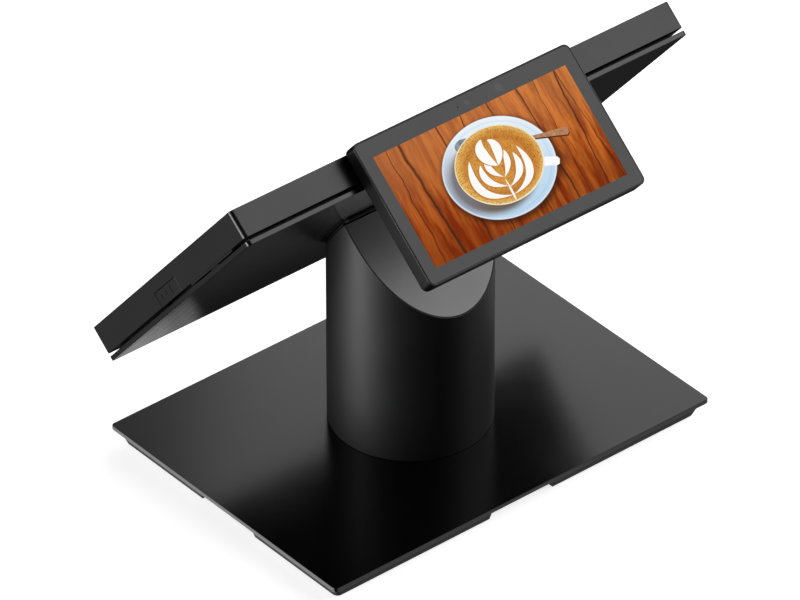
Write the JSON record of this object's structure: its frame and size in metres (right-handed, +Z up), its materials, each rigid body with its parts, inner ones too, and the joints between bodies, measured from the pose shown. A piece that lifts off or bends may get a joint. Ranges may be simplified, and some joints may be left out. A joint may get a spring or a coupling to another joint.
{
  "type": "pos touchscreen terminal",
  "caption": "Point-of-sale terminal: tilting touch head with a customer display, on a round swivelling column over a flat weighted base.",
  "frame": {"origin": "on the counter, under the middle of the whole terminal; the swivel axis is 5.93 mm to the operator's side of it", "axes": "+Z up, -Y towards the operator, +Y towards the customer, +X to the operator's right"},
  "size_m": [0.3386, 0.2252, 0.2724],
  "materials": {
    "powder_coat": "fine-grained satin powder coat",
    "black_plastic": "fine-textured satin",
    "rubber": "matt",
    "steel": "zinc plated",
    "aluminium": "satin",
    "bush_plastic": "natural moulded",
    "circuit_board": "solder mask",
    "screen_glass": "black-backed cover glass"
  },
  "bodies": {
    "base": {"base_plate": "powder_coat", "base_tray": "black_plastic", "foot_left_front": "rubber", "foot_left_rear": "rubber", "foot_right_front": "rubber", "foot_right_rear": "rubber", "base_screw_1": "steel", "base_screw_2": "steel", "base_screw_3": "steel", "base_screw_4": "steel", "swivel_bush": "bush_plastic", "swivel_washer": "steel"},
    "column": {"column_foot": "steel", "spindle_nut": "steel", "column_mast": "steel", "hinge_bracket": "steel", "tilt_pin": "steel", "tilt_washer_left": "steel", "tilt_washer_right": "steel", "column_tube": "powder_coat", "roof_cover_customer": "powder_coat", "roof_cover_operator": "powder_coat"},
    "head": {"head_housing": "black_plastic", "touch_glass": "screen_glass", "display_panel": "black_plastic", "middle_frame": "steel", "main_board": "circuit_board", "heat_sink": "aluminium", "storage_drive": "aluminium", "speaker_left": "black_plastic", "speaker_right": "black_plastic", "port_block": "steel", "rear_spacer": "black_plastic", "rear_cover": "powder_coat", "tilt_plate": "steel", "display_bracket": "powder_coat", "bracket_screw_left": "steel", "bracket_screw_right": "steel", "power_switch": "steel"},
    "port_cover": {"side_port_cover": "black_plastic"},
    "power_button": {"power_button": "black_plastic"},
    "customer_display": {"customer_housing": "black_plastic", "customer_glass": "screen_glass", "customer_panel": "black_plastic", "customer_board": "circuit_board", "customer_camera": "screen_glass", "light_sensor": "screen_glass", "display_leaf": "powder_coat", "display_pin": "steel"}
  },
  "joints": [
    {"name": "column_swivel", "type": "hinge", "parent": "base", "child": "column", "pos_m": [0, -0.00593, 0.014], "axis": [0, 0, 1], "range_deg": [-90, 90]},
    {"name": "head_tilt", "type": "hinge", "parent": "column", "child": "head", "pos_m": [0, -0.00593, 0.175], "axis": [-1, 0, 0], "range_deg": [0, 40]},
    {"name": "customer_display_tilt", "type": "hinge", "parent": "head", "child": "customer_display", "pos_m": [0, 0.05333, 0.23754], "axis": [-1, 0, 0], "range_deg": [0, 20]},
    {"name": "port_cover_pull", "type": "slide", "parent": "head", "child": "port_cover", "axis": [1, 0, 0], "range_m": [0, 0.006]},
    {"name": "power_button_press", "type": "slide", "parent": "head", "child": "power_button", "axis": [0, 0.6428, 0.766], "range_m": [0, 0.0008], "stiffness_N_per_m": 500, "springref_m": -0.0005}
  ]
}
